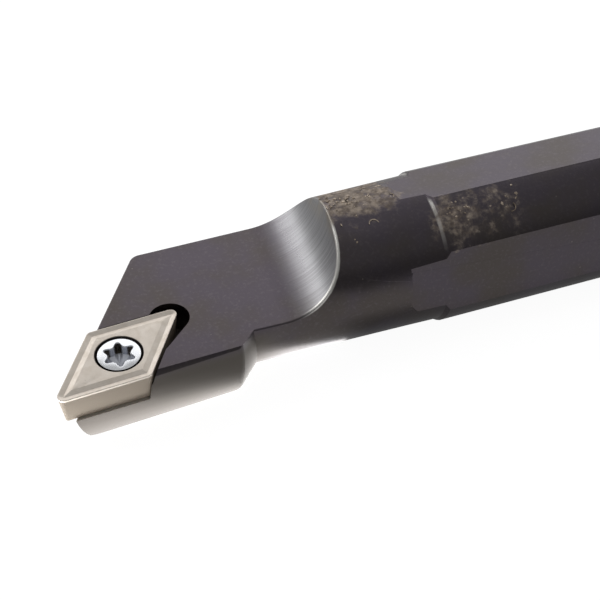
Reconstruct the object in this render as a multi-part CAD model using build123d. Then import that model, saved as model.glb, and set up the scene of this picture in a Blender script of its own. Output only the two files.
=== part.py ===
"""Right-hand internal boring bar for a clamped 55-degree rhombic insert.

Three pieces come apart on a bench: the steel bar, the carbide insert that sits
in its pocket, and the six-lobe countersunk screw that clamps it.

Frame, in millimetres: +X points from the cutting nose to the rear end, +Z is the
normal of the upper clamping flat, and the cutting side is -Y.  The origin is the
centre of the shank's rear end face.  The model is first laid out about the
shoulder where the neck meets the shank, and is moved to that origin on export.
"""

from build123d import *
import os
from math import cos, pi, radians, sin, sqrt, tan

# ---------------------------------------------------------------- shank
OVERALL_LENGTH = 200.0  # rear face to the sharp corner of the cutting nose
SHANK_DIA = 20.0
UPPER_FLAT_HEIGHT = 9.3  # axis to the upper and the lower clamping flat
SIDE_FLAT_DEPTH = 9.0  # axis to the flat on the cutting side
UPPER_FLAT_OVERRUN = 3.9  # how far the flats run past the shoulder onto the neck
SIDE_FLAT_OVERRUN = 5.7
FLAT_CUTTER_DIA = 24.0  # end mill that leaves the rounded end of the upper flats
SIDE_MILL_SLACK = 1.03  # end mill of the side flat, to half the width of that flat
REAR_CHAMFER = 1.0

# ---------------------------------------------------------------- neck and head
NOSE_REACH = 50.6  # shoulder to cutting nose, along the bar
NOSE_OFFSET = 12.86  # bar axis to cutting nose, across the bar
SHOULDER_CHAMFER = 0.6  # length of the small cone between neck and shank
NECK_DIA = 19.3  # at the shoulder
NECK_TAPER = 0.895  # degrees off the axis, narrowing towards the head
HEAD_TILT = 9.42  # degrees, top face of the head slopes down to the cutting side
CHEEK_LENGTH = 22.7  # cutting nose back to the crest of the swollen cheek
CHEEK_DIA = 22.6  # at that crest
CHEEK_DROP = 0.8  # its axis below that of the bar
CHEEK_TAPER = 3.0  # degrees off the axis, widening towards the nose
CHEEK_STEP_ANGLE = 43.0  # degrees off the axis, back slope of the cheek
CHEEK_CREST_RADIUS = 1.2
FRONT_EDGE_RADIUS = 1.5  # front face to the neck, away from the cutting side and below
FRONT_SETBACK = 0.9  # insert's leading edge to the front face of the head
FRONT_RELIEF = 6.0  # degrees, lean of the front face
NOSE_RELIEF_YAW = 2.4  # degrees, second facet of that face, under the insert
BEVEL_START = 22.3  # cutting nose back to where the cheek bevel runs out
BEVEL_YAW = 2.2  # degrees, bevel opens towards the nose
BEVEL_LEAN = 26.0  # degrees off the upright

# ---------------------------------------------------------------- chip gullet
GULLET_RADIUS = 8.0
GULLET_SETBACK = 29.5  # cutting nose back to where the gullet leaves the top face
GULLET_SWEEP = 4.45  # degrees, gullet axis turned towards the rear at the far side
GULLET_RIM_RADIUS = 0.2  # polished break of the edge between gullet and neck

# ---------------------------------------------------------------- insert
INSERT_INSCRIBED_DIA = 9.525
INSERT_THICKNESS = 3.97
INSERT_ANGLE = 55.0
INSERT_CLEARANCE = 7.0
INSERT_NOSE_RADIUS = 0.8
LEAST_CORNER_RADIUS = 0.1  # where an outline is set in past the nose radius
INSERT_LEAD = 3.4  # degrees, side cutting edge to the bar axis
INSERT_HOLE_DIA = 4.4
INSERT_SINK_DIA = 5.8  # rim of the countersink in the insert
LAND_WIDTH = 0.1  # flat land behind the cutting edge
GROOVE_RUN = 0.58  # falling wall of the chip groove
GROOVE_RISE = 0.66  # rising wall up to the middle of the face
GROOVE_DEPTH = 0.2

# ---------------------------------------------------------------- pocket
WALL_CLEARANCE = 0.05  # insert to both pocket walls at the seat
SIDE_WALL_ANGLE = 7.5  # degrees off the upright, wall along the insert's far edge
BACK_WALL_ANGLE = 7.5  # degrees off the upright, wall behind the insert
BACK_EDGE_DEPTH = 1.6  # the upper edge of the back wall is cleared this deep
BACK_EDGE_WIDTH = 0.4  # and this wide at the top
RELIEF_RADIUS = 2.5  # round relief at the inner corner of the insert
RELIEF_INSET_X = 1.85  # inner sharp corner to the middle of that relief
RELIEF_INSET_Y = 1.35
RELIEF_DEPTH = 0.4  # below the seat
RELIEF_TAIL = 6.8  # where the relief runs out along the back wall
RELIEF_TAIL_RADIUS = 0.55

# ---------------------------------------------------------------- clamping screw
SCREW_THREAD_DIA = 3.5
SCREW_RIM_MARGIN = 0.5  # countersink's rim wider than the head, across
SCREW_HEAD_ANGLE = 60.0  # included angle of the cone under the head
SCREW_LENGTH = 9.6
SCREW_TIP_CHAMFER = 0.5
SCREW_HEAD_SINK = 0.12  # top of the head below the insert's top face
SCREW_SEAT_GAP = 0.02  # between the two cones
SCREW_RIM_CHAMFER = 0.15
THREAD_CLEARANCE = 0.05  # plain shank to the walls of its hole, all round
LOBE_OUTER_DIA = 3.85  # six-lobe socket across its lobes
LOBE_INNER_DIA = 2.7  # and across its flutes
LOBE_TIP_RADIUS = 0.3
SOCKET_DEPTH = 1.3
SOCKET_TURN = 20.0  # degrees, how the tightened screw came to rest

# ---------------------------------------------------------------- derived places
SHANK_LENGTH = OVERALL_LENGTH - NOSE_REACH
PAST = 5.0  # how far cutting tools reach past what they cut
HALF_SIDE = INSERT_INSCRIBED_DIA / 2 / sin(radians(INSERT_ANGLE))
SCREW_HEAD_DIA = INSERT_SINK_DIA - SCREW_RIM_MARGIN


def neck_radius(x):
    """Radius of the neck at a distance x from the shoulder."""
    return NECK_DIA / 2 + x * tan(radians(NECK_TAPER))


def insert_plane():
    """Top face of the insert: x along its side cutting edge, z out of the face."""
    tilt = radians(HEAD_TILT)
    nose = Vector(-NOSE_REACH, -NOSE_OFFSET, 0)
    face = Plane(nose, x_dir=(1, 0, 0), z_dir=(0, -sin(tilt), cos(tilt))).rotated((0, 0, INSERT_LEAD))
    along, across = rhomb_corner(1, 1)
    face.origin = nose + face.x_dir * along + face.y_dir * across
    return face


def rhomb_corner(i, j, scale=1.0):
    """Corner of the insert's rhomb: i and j are -1 or 1, the nose is (-1, -1)."""
    angle = radians(INSERT_ANGLE)
    half = HALF_SIDE * scale
    return half * (i + j * cos(angle)), half * j * sin(angle)


def rhomb(inset=0.0):
    """Rounded rhomb, set in from the insert's outline by the same amount all round."""
    scale = 1 - 2 * inset / INSERT_INSCRIBED_DIA
    corners = [rhomb_corner(i, j, scale) for i, j in ((-1, -1), (1, -1), (1, 1), (-1, 1))]
    outline = make_face(Polyline(*corners, close=True))
    return fillet(outline.vertices(), max(INSERT_NOSE_RADIUS - inset, LEAST_CORNER_RADIUS))


def frustum(low, high, depth):
    """Solid between one outline on the face and another at a depth below it."""
    return loft([Plane((0, 0, -depth)) * low, high], ruled=True)


# ---------------------------------------------------------------- the bar
def turned_blank():
    """Shank, shoulder and tapered neck, turned in one."""
    front = -(NOSE_REACH + PAST)
    rear = SHANK_LENGTH
    shank = SHANK_DIA / 2
    half_chamfer = SHOULDER_CHAMFER / 2
    profile = Polyline(
        (front, 0),
        (front, neck_radius(front)),
        (-half_chamfer, neck_radius(-half_chamfer)),
        (half_chamfer, shank),
        (rear - REAR_CHAMFER, shank),
        (rear, shank - REAR_CHAMFER),
        (rear, 0),
        close=True,
    )
    return revolve(make_face(profile), Axis.X)


def cheek():
    """Swollen cutting side of the head, turned about a lower axis, with its back slope."""
    front = -(NOSE_REACH + PAST)
    crest_x = CHEEK_LENGTH - NOSE_REACH
    crest_r = CHEEK_DIA / 2
    front_r = crest_r + (crest_x - front) * tan(radians(CHEEK_TAPER))
    foot_r = neck_radius(crest_x) - 2 * CHEEK_DROP
    foot_x = crest_x + (crest_r - foot_r) / tan(radians(CHEEK_STEP_ANGLE))
    outline = FilletPolyline((front, front_r), (crest_x, crest_r), (foot_x, foot_r), radius=CHEEK_CREST_RADIUS)
    closing = Polyline(outline @ 1, (foot_x, 0), (front, 0), outline @ 0)
    swelling = Pos(0, 0, -CHEEK_DROP) * revolve(make_face(outline + closing), Axis.X)
    return swelling & cutting_side(front, foot_x)


def cutting_side(front, rear):
    """Room beside the axis on the cutting side, down to the underside of the neck."""
    top = SHANK_DIA
    outline = Polyline(
        (front, -neck_radius(front)),
        (rear, -neck_radius(rear)),
        (rear, top),
        (front, top),
        close=True,
    )
    upright = make_face(Plane.XZ * outline)
    return extrude(upright, SHANK_DIA, dir=(0, -1, 0))


def chip_room(face):
    """What is milled away above the head: its top face and the round gullet."""
    front = -(NOSE_REACH + PAST)
    start = GULLET_SETBACK - NOSE_REACH
    level = Plane(
        Vector(0, 0, 0) + face.z_dir * face.origin.dot(face.z_dir),
        x_dir=(1, 0, 0),
        z_dir=face.z_dir,
    )
    height = SHANK_DIA
    top = Polyline(
        (start + GULLET_RADIUS, GULLET_RADIUS),
        (start + GULLET_RADIUS, height),
        (2 * front, height),
        (2 * front, 0),
        (start, 0),
    )
    scoop = RadiusArc((start, 0), (start + GULLET_RADIUS, GULLET_RADIUS), -GULLET_RADIUS)
    section = make_face(Plane.XZ * (top + scoop))
    room = extrude(section, 2 * SHANK_DIA, both=True)
    return level.location * (Rot(0, 0, -GULLET_SWEEP) * room)


def flat_cutters():
    """Mills for the two clamping flats and for the flat on the cutting side."""
    radius = FLAT_CUTTER_DIA / 2
    side_radius = SIDE_MILL_SLACK * sqrt((SHANK_DIA / 2) ** 2 - SIDE_FLAT_DEPTH**2)
    length = SHANK_LENGTH + PAST
    upper = run_out(length, UPPER_FLAT_OVERRUN, radius, SHANK_DIA)
    side = run_out(length, SIDE_FLAT_OVERRUN, side_radius, SHANK_DIA)
    return [
        Pos(0, 0, UPPER_FLAT_HEIGHT) * upper,
        Pos(0, 0, -UPPER_FLAT_HEIGHT) * (Rot(180, 0, 0) * upper),
        Pos(0, -SIDE_FLAT_DEPTH, 0) * (Rot(90, 0, 0) * side),
    ]


def run_out(length, overrun, radius, height):
    """Path of an end mill: open at the rear, with a round end on the neck."""
    middle = radius - overrun
    path = Pos(middle + length / 2, 0) * Rectangle(length, 2 * radius)
    return extrude(path + Pos(middle, 0) * Circle(radius), height)


def front_cutter(face, yaw):
    """Everything ahead of a front face, turned a yaw from the insert's leading edge."""
    lead_x, lead_y = rhomb_corner(-1, 1)
    foot = (lead_x + FRONT_SETBACK / sin(radians(INSERT_ANGLE)), lead_y, 0)
    turn, lean = radians(INSERT_ANGLE + yaw), radians(FRONT_RELIEF)
    ahead = (-sin(turn) * cos(lean), cos(turn) * cos(lean), -sin(lean))
    cut = Plane(foot, z_dir=ahead) * Rectangle(6 * SHANK_DIA, 6 * SHANK_DIA)
    return face.location * extrude(cut, 2 * SHANK_DIA)


def rounded_front(bar):
    """Rounds the front face off into the neck, and breaks the rim of the gullet."""
    neck_edges = [e for e in bar.edges().filter_by(GeomType.ELLIPSE) if e.center().Y > 0]
    bar = fillet(neck_edges, FRONT_EDGE_RADIUS)
    rim = bar.edges().filter_by(GeomType.BSPLINE).sort_by(Axis.X)[-1]
    return fillet(rim, GULLET_RIM_RADIUS)


def bevel_cutter(face):
    """Upright bevel that takes the edge off the cheek, opening towards the nose."""
    depth = face.origin.dot(face.z_dir)
    x = BEVEL_START - NOSE_REACH
    tilt = radians(HEAD_TILT)
    y = -CHEEK_DIA / 2
    z = (depth + y * sin(tilt)) / cos(tilt)
    yaw, lean = radians(BEVEL_YAW), radians(BEVEL_LEAN)
    outward = (sin(yaw) * cos(lean), -cos(yaw) * cos(lean), sin(lean))
    cut = Plane((x, y, z), z_dir=outward)
    return extrude(cut * Rectangle(6 * SHANK_DIA, 6 * SHANK_DIA), SHANK_DIA)


def pocket(face):
    """Room for the insert: seat, two leaning walls and the round corner relief."""
    rise = 2.0
    reach = 3 * INSERT_INSCRIBED_DIA
    low = wall_outline(0, reach)
    high = wall_outline(INSERT_THICKNESS + rise, reach)
    room = loft([Plane((0, 0, -INSERT_THICKNESS)) * low, Plane((0, 0, rise)) * high], ruled=True)
    angle = radians(INSERT_ANGLE)
    corner = Vector(*rhomb_corner(1, 1))
    down = Vector(cos(angle), sin(angle))
    tail = corner - down * RELIEF_TAIL
    middle = corner - Vector(RELIEF_INSET_X, RELIEF_INSET_Y)
    round_end = Pos(middle.X, middle.Y) * Circle(RELIEF_RADIUS)
    tail_end = Pos(tail.X, tail.Y) * Circle(RELIEF_TAIL_RADIUS)
    relief = make_hull(round_end.edges() + tail_end.edges())
    floor = INSERT_THICKNESS + RELIEF_DEPTH
    room += Pos(0, 0, -floor) * extrude(relief, floor + rise)
    return face.location * (room + cleared_edge(tail, down, rise))


def cleared_edge(start, down, rise):
    """Wedge that clears the upper edge of the back wall from the relief outwards."""
    outward = Vector(down.Y, -down.X)
    slope = BACK_EDGE_WIDTH / BACK_EDGE_DEPTH
    section = Plane(start, x_dir=outward, z_dir=-down) * Polyline(
        (-1, -BACK_EDGE_DEPTH),
        (0, -BACK_EDGE_DEPTH),
        (slope * (BACK_EDGE_DEPTH + rise), rise),
        (-1, rise),
        close=True,
    )
    return extrude(make_face(section), 2 * INSERT_INSCRIBED_DIA)


def wall_outline(height, reach):
    """Pocket outline at a height above the seat, open to the nose and the cheek."""
    angle = radians(INSERT_ANGLE)
    shrink = INSERT_THICKNESS * tan(radians(INSERT_CLEARANCE))
    corner = Vector(*rhomb_corner(1, 1, 1 - 2 * shrink / INSERT_INSCRIBED_DIA))
    side = WALL_CLEARANCE + height * tan(radians(SIDE_WALL_ANGLE))
    back = WALL_CLEARANCE + height * tan(radians(BACK_WALL_ANGLE))
    along = Vector(1, 0)
    down = Vector(cos(angle), sin(angle))
    inner = corner + down * (side / sin(angle)) + along * (back / sin(angle))
    return make_face(
        Polyline(
            inner,
            inner - along * reach,
            inner - along * reach - down * reach,
            inner - down * reach,
            close=True,
        )
    )


def screw_hole(face):
    """Hole for the clamping screw, square to the seat and out through the underside."""
    radius = SCREW_THREAD_DIA / 2 + THREAD_CLEARANCE
    return face.location * (Pos(0, 0, -SHANK_DIA) * extrude(Circle(radius), SHANK_DIA))


def make_bar(face):
    """The steel bar: turned, then milled flat, scooped, pocketed and drilled."""
    bar = turned_blank() + cheek()
    bar -= chip_room(face)
    bar -= front_cutter(face, 0)
    bar = rounded_front(bar)
    bar -= front_cutter(face, NOSE_RELIEF_YAW)
    for cutter in flat_cutters():
        bar -= cutter
    bar -= bevel_cutter(face)
    bar -= pocket(face)
    bar -= screw_hole(face)
    return bar


# ---------------------------------------------------------------- the insert
def make_insert(face):
    """Pressed and sintered insert: tapered flanks, chip groove, countersunk hole."""
    shrink = INSERT_THICKNESS * tan(radians(INSERT_CLEARANCE))
    body = frustum(rhomb(shrink), rhomb(), INSERT_THICKNESS)
    floor_in = LAND_WIDTH + GROOVE_RUN
    middle_in = floor_in + GROOVE_RISE
    dish = frustum(rhomb(floor_in), rhomb(LAND_WIDTH), GROOVE_DEPTH)
    island = frustum(rhomb(floor_in), rhomb(middle_in), GROOVE_DEPTH)
    body -= dish - island
    body -= Pos(0, 0, -INSERT_THICKNESS) * extrude(Circle(INSERT_HOLE_DIA / 2), 2 * INSERT_THICKNESS)
    body -= sink_cone(INSERT_SINK_DIA / 2)
    return face.location * body


def sink_cone(rim_radius, drop=0.0):
    """Cone of the countersink or the screw head, its rim a drop below the face."""
    depth = rim_radius / tan(radians(SCREW_HEAD_ANGLE / 2))
    return Pos(0, 0, -drop) * (Rot(180, 0, 0) * (Pos(0, 0, depth / 2) * Cone(rim_radius, 0, depth)))


# ---------------------------------------------------------------- the screw
def six_lobe():
    """Outline of the six-lobe socket, from tangent arcs."""
    tip = LOBE_TIP_RADIUS
    outer = LOBE_OUTER_DIA / 2 - tip
    inner = LOBE_INNER_DIA / 2
    lean = cos(pi / 6)
    flute = (outer**2 + inner**2 - 2 * outer * inner * lean - tip**2) / (2 * (tip + outer * lean - inner))
    lobes = Circle(outer)
    for k in range(6):
        lobes += Rot(0, 0, 60 * k) * (Pos(outer, 0) * Circle(tip))
    for k in range(6):
        lobes -= Rot(0, 0, 60 * k + 30) * (Pos(inner + flute, 0) * Circle(flute))
    return lobes


def make_screw(face):
    """Countersunk clamping screw with a plain shank; its fine thread isn't cut."""
    head = SCREW_HEAD_DIA / 2
    shank = SCREW_THREAD_DIA / 2
    slope = tan(radians(SCREW_HEAD_ANGLE / 2))
    rim_low = SCREW_SEAT_GAP / sin(radians(SCREW_HEAD_ANGLE / 2)) - (INSERT_SINK_DIA / 2 - head) / slope
    rim_high = -SCREW_HEAD_SINK
    neck_low = rim_low - (head - shank) / slope
    tip = rim_high - SCREW_LENGTH
    profile = Polyline(
        (0, rim_high),
        (head - SCREW_RIM_CHAMFER, rim_high),
        (head, rim_high - SCREW_RIM_CHAMFER),
        (head, rim_low),
        (shank, neck_low),
        (shank, tip + SCREW_TIP_CHAMFER),
        (shank - SCREW_TIP_CHAMFER, tip),
        (0, tip),
        close=True,
    )
    body = revolve(make_face(Plane.XZ * profile), Axis.Z)
    socket = Pos(0, 0, rim_high - SOCKET_DEPTH) * extrude(six_lobe(), 2 * SOCKET_DEPTH)
    body -= Rot(0, 0, SOCKET_TURN) * socket
    return face.location * body


# ---------------------------------------------------------------- export
def main():
    """Build each piece and write it with its origin at the rear end face."""
    os.makedirs("parts", exist_ok=True)
    face = insert_plane()
    pieces = {
        "bar_body": make_bar(face),
        "cutting_insert": make_insert(face),
        "clamp_screw": make_screw(face),
    }
    for name, piece in pieces.items():
        export_step(Pos(-SHANK_LENGTH, 0, 0) * piece, f"parts/{name}.step")


main()
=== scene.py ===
"""Looks of the boring bar: finishes, the detailed insert and screw, stuck swarf, light and camera.

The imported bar, insert and screw are the fixed frame: +X runs from the cutting nose to the rear
end of the shank, +Z is the normal of the upper clamping flat and the cutting side is -Y.
Lengths are written in millimetres and turned to metres where a mesh or a lamp is made.
"""

from __future__ import annotations

import logging
import math
import random
from dataclasses import dataclass, field
from enum import Enum
from typing import Any, Sequence

import bmesh
import bpy
from mathutils import Matrix, Vector


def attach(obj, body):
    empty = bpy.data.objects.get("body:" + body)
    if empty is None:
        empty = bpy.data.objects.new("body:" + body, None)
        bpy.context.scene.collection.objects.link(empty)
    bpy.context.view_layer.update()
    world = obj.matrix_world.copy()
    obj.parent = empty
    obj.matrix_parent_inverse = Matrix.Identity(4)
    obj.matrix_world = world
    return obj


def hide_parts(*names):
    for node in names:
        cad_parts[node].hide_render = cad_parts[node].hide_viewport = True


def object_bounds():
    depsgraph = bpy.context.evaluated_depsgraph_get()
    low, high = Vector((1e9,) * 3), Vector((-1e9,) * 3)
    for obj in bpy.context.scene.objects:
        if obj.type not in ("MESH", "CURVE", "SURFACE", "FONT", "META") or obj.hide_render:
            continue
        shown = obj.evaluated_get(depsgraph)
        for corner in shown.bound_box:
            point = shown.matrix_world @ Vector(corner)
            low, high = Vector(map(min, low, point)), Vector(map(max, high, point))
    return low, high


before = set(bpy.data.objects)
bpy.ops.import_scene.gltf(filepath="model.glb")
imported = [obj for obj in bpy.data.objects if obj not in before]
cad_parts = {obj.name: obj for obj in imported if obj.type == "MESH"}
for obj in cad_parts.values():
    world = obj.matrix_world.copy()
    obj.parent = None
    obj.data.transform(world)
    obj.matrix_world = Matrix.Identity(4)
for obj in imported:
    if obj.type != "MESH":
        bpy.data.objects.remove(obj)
CAD_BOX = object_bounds()

MM = 0.001
LOG = logging.getLogger("boring_bar")
BODY = "root"

Tree = bpy.types.NodeTree
Socket = bpy.types.NodeSocket
Edges = list[bmesh.types.BMEdge]
Range = tuple[float, float]


class Slot(Enum):
    """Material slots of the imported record."""

    BAR = "black_oxide_steel"
    INSERT = "coated_carbide"
    SCREW = "bright_screw_steel"


# ------------------------------------------------------------------ nodes
@dataclass(frozen=True)
class NodeKind:
    """Blender's node type with its settings, the inputs that values are given for and its output."""

    kind: str
    settings: dict[str, str] = field(default_factory=dict)
    inputs: tuple[int | str, ...] = (0, 1, 2)
    output: int | str = 0


class Node(Enum):
    """Nodes that the finishes, the floor and the room are made of."""

    TIMES = NodeKind("ShaderNodeMath", {"operation": "MULTIPLY"})
    PLUS = NodeKind("ShaderNodeMath", {"operation": "ADD"})
    MINUS = NodeKind("ShaderNodeMath", {"operation": "SUBTRACT"})
    TIMES_PLUS = NodeKind("ShaderNodeMath", {"operation": "MULTIPLY_ADD"})
    LARGER = NodeKind("ShaderNodeMath", {"operation": "MAXIMUM"})
    UNSIGNED = NodeKind("ShaderNodeMath", {"operation": "ABSOLUTE"})
    OVER = NodeKind("ShaderNodeMath", {"operation": "GREATER_THAN"})
    FADE = NodeKind("ShaderNodeMapRange", {"interpolation_type": "SMOOTHSTEP"})  # value, 0 at, 1 at
    MIX = NodeKind("ShaderNodeMix", {"data_type": "FLOAT"}, (0, 2, 3))
    MIX_COLOUR = NodeKind("ShaderNodeMix", {"data_type": "RGBA"}, (0, 6, 7), 2)
    MIX_SHADER = NodeKind("ShaderNodeMixShader")
    AXES = NodeKind("ShaderNodeSeparateXYZ")
    KEEP_AXES = NodeKind("ShaderNodeVectorMath", {"operation": "MULTIPLY"})
    ENLARGE = NodeKind("ShaderNodeVectorMath", {"operation": "SCALE"}, (0, "Scale"))
    LENGTH = NodeKind("ShaderNodeVectorMath", {"operation": "LENGTH"}, (0,), "Value")
    ALIGNED = NodeKind("ShaderNodeVectorMath", {"operation": "DOT_PRODUCT"}, (0, 1), "Value")
    STRETCH = NodeKind("ShaderNodeMapping", {}, ("Vector", "Scale"))
    TURN = NodeKind("ShaderNodeMapping", {}, ("Vector", "Location", "Rotation"))
    NOISE = NodeKind("ShaderNodeTexNoise", {}, ("Vector", "Scale", "Detail", "Roughness"))
    CELLS = NodeKind("ShaderNodeTexVoronoi", {}, ("Vector", "Scale", "Randomness"), "Distance")
    BUMP = NodeKind("ShaderNodeBump", {}, ("Height", "Distance", "Strength", "Normal"))
    PLACE = NodeKind("ShaderNodeTexCoord", {}, (), "Object")
    FACING = NodeKind("ShaderNodeTexCoord", {}, (), "Normal")
    WAY = NodeKind("ShaderNodeTexCoord", {}, (), "Generated")
    CAMERA_RAY = NodeKind("ShaderNodeLightPath", {}, (), "Is Camera Ray")
    GLOSSY_RAY = NodeKind("ShaderNodeLightPath", {}, (), "Is Glossy Ray")
    PRINCIPLED = NodeKind("ShaderNodeBsdfPrincipled")
    MATT = NodeKind("ShaderNodeBsdfDiffuse", {}, ("Color",))
    GLOW = NodeKind("ShaderNodeEmission", {}, ("Strength",))
    ROOM = NodeKind("ShaderNodeBackground", {}, ("Color", "Strength"))
    MATERIAL_END = NodeKind("ShaderNodeOutputMaterial", {}, ("Surface",))
    WORLD_END = NodeKind("ShaderNodeOutputWorld", {}, ("Surface",))


def linear(hex_colour: str) -> tuple[float, float, float, float]:
    """Turns an sRGB hex colour to linear.

    Args:
        hex_colour: Six hex digits, with or without a leading hash.

    Returns:
        Linear red, green, blue and an alpha of 1.
    """
    digits = hex_colour.lstrip("#")
    channels = [int(digits[i : i + 2], 16) / 255 for i in (0, 2, 4)]
    bent = [c / 12.92 if c <= 0.04045 else ((c + 0.055) / 1.055) ** 2.4 for c in channels]
    return (*bent, 1.0)


def fill_inputs(node: bpy.types.Node, values: dict[int | str, Any]) -> None:
    """Gives a node its inputs.

    Args:
        node: The node.
        values: By input: another node's output, a hex colour, or the input's own value.
    """
    for place, value in values.items():
        if isinstance(value, Socket):
            node.id_data.links.new(value, node.inputs[place])
        else:
            node.inputs[place].default_value = linear(value) if isinstance(value, str) else value


def add_node(tree: Tree, node: Node, *values: Any) -> Socket | None:
    """Adds a node with its settings, values and links.

    Args:
        tree: Node tree to add to.
        node: Which node.
        *values: What its inputs get, in the order of its kind.

    Returns:
        Its output, or None where a tree ends.
    """
    made = tree.nodes.new(node.value.kind)
    for name, setting in node.value.settings.items():
        setattr(made, name, setting)
    fill_inputs(made, dict(zip(node.value.inputs, values)))
    return made.outputs[node.value.output] if made.outputs else None


# ------------------------------------------------------------------ drawing with nodes
def cover(tree: Tree, *limits: tuple[Socket, float, float]) -> Socket:
    """Where several values are all in range.

    Args:
        tree: Node tree.
        *limits: A value, where its cover starts and where its cover is full.

    Returns:
        Cover from 0 to 1.
    """
    covered = None
    for value, start, full in limits:
        part = add_node(tree, Node.FADE, value, start, full)
        covered = part if covered is None else add_node(tree, Node.TIMES, covered, part)
    return covered


def lay(tree: Tree, mix: Node, base: Any, *coats: tuple[Socket, Any]) -> Socket:
    """Lays coats over a base, each where its cover is.

    Args:
        tree: Node tree.
        mix: Node.MIX for numbers, Node.MIX_COLOUR for colours.
        base: What lies under the coats.
        *coats: Cover and value of each coat, the lowest first.

    Returns:
        What shows in the end.
    """
    for covered, value in coats:
        base = add_node(tree, mix, covered, base, value)
    return base


def relief(tree: Tree, *layers: tuple[Socket, float, float]) -> Socket:
    """Normal of several layers of fine relief.

    Args:
        tree: Node tree.
        *layers: Height from 0 to 1, depth in millimetres and strength of each layer.

    Returns:
        The bumped normal.
    """
    normal: tuple[Socket, ...] = ()
    for height, depth, strength in layers:
        normal = (add_node(tree, Node.BUMP, height, depth * MM, strength, *normal),)
    return normal[0]


def millimetres(tree: Tree) -> Socket:
    """Object coordinates in millimetres."""
    return add_node(tree, Node.ENLARGE, add_node(tree, Node.PLACE), 1 / MM)


def local_place(tree: Tree, place: Socket, matrix: Matrix) -> Socket:
    """Coordinates in a local frame, in millimetres, from those in the row's frame."""
    inverse = matrix.inverted()
    return add_node(tree, Node.TURN, place, inverse.to_translation(), inverse.to_euler("XYZ"))


def off_axis(tree: Tree, place: Socket, keep: tuple[int, int, int]) -> Socket:
    """Distance from the axis that isn't kept."""
    return add_node(tree, Node.LENGTH, add_node(tree, Node.KEEP_AXES, place, keep))


def drawn_out(tree: Tree, place: Socket, sizes: tuple[float, float, float], *noise: float) -> Socket:
    """Noise of drawn-out grains.

    Args:
        tree: Node tree.
        place: Coordinates in millimetres.
        sizes: Size of a grain along each axis, in millimetres.
        *noise: Detail and roughness of the noise.

    Returns:
        Noise from 0 to 1.
    """
    stretched = add_node(tree, Node.STRETCH, place, tuple(1 / size for size in sizes))
    return add_node(tree, Node.NOISE, stretched, 1.0, *noise)


def new_material(name: str) -> tuple[bpy.types.Material, Tree, bpy.types.Node]:
    """Starts a material with one Principled shader.

    Args:
        name: Name of the finish.

    Returns:
        The material, its tree and its Principled node.
    """
    material = bpy.data.materials.new(name)
    material.use_nodes = True
    tree = material.node_tree
    tree.nodes.clear()
    shader = add_node(tree, Node.PRINCIPLED)
    add_node(tree, Node.MATERIAL_END, shader)
    return material, tree, shader.node


def finish_piece(
    name: str, bm: bmesh.types.BMesh, material: bpy.types.Material, crease: float
) -> bpy.types.Object:
    """Turns a bmesh in metres and in the row's frame into a piece that rides on the bar.

    Args:
        name: Name of the piece.
        bm: The mesh; it is freed.
        material: Its finish.
        crease: Edges sharper than this many degrees stay sharp.

    Returns:
        The new object.
    """
    mesh = bpy.data.meshes.new(name)
    bm.to_mesh(mesh)
    bm.free()
    mesh.polygons.foreach_set("use_smooth", [True] * len(mesh.polygons))
    mesh.set_sharp_from_angle(angle=math.radians(crease))
    mesh.materials.append(material)
    piece = bpy.data.objects.new(name, mesh)
    bpy.context.scene.collection.objects.link(piece)
    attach(piece, BODY)
    LOG.info("piece %s: %d faces", name, len(mesh.polygons))
    return piece


# ------------------------------------------------------------------ set-out of the head
@dataclass(frozen=True)
class HeadSetOut:
    """Planes of the head, in millimetres, in the row's frame."""

    length: float = 200.0  # rear face to the sharp corner of the cutting nose
    nose_offset: float = 12.86  # bar axis to that corner
    tilt: float = 9.42  # degrees, the face slopes down to the cutting side
    lead: float = 3.4  # degrees, side cutting edge to the bar axis
    inscribed_dia: float = 9.525
    insert_angle: float = 55.0
    gullet_radius: float = 8.0
    gullet_setback: float = 29.5  # nose back to where the gullet leaves the face
    gullet_sweep: float = 4.45  # degrees
    neck_radius: float = 9.65  # at the shoulder
    neck_taper: float = 0.895  # degrees
    shoulder: float = -149.4  # where the neck meets the shank

    def turn(self) -> Matrix:
        """Turn of the insert: the face tilts, then the lead turns it about the upright."""
        tilted = Matrix.Rotation(math.radians(self.tilt), 3, "X")
        return Matrix.Rotation(math.radians(self.lead), 3, "Z") @ tilted

    def half_side(self) -> float:
        """Half of a side of the insert's rhomb."""
        return self.inscribed_dia / 2 / math.sin(math.radians(self.insert_angle))

    def nose(self) -> Vector:
        """Sharp corner of the cutting nose."""
        return Vector((-self.length, -self.nose_offset, 0))

    def insert_matrix(self) -> Matrix:
        """Insert's own frame.

        Returns:
            Origin at the middle of its face, x along its side cutting edge, z out of the face.
        """
        turn = self.turn()
        angle = math.radians(self.insert_angle)
        corner = Vector((1 + math.cos(angle), math.sin(angle), 0)) * self.half_side()
        return Matrix.Translation(self.nose() + turn @ corner) @ turn.to_4x4()

    def gullet_matrix(self) -> Matrix:
        """Gullet's own frame.

        Returns:
            Origin on the gullet's axis, y along that axis, z out of the face.
        """
        out = self.turn().col[2]
        along = (Vector((1, 0, 0)) - out * out.x).normalized()
        level = Matrix((along, out.cross(along), out)).transposed()
        turn = level @ Matrix.Rotation(math.radians(-self.gullet_sweep), 3, "Z")
        foot = Vector((self.shoulder, 0, 0))
        middle = foot + out * (self.nose() - foot).dot(out)
        middle += turn @ Vector((self.gullet_setback - self.length - self.shoulder, 0, self.gullet_radius))
        return Matrix.Translation(middle) @ turn.to_4x4()

    def neck(self, along: float) -> float:
        """Radius of the neck at a place along the bar."""
        return self.neck_radius + (along - self.shoulder) * math.tan(math.radians(self.neck_taper))


HEAD = HeadSetOut()


def metres(matrix: Matrix) -> Matrix:
    """A matrix that takes millimetres in a local frame to metres in the row's frame."""
    return Matrix.Scale(MM, 4) @ matrix


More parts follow.
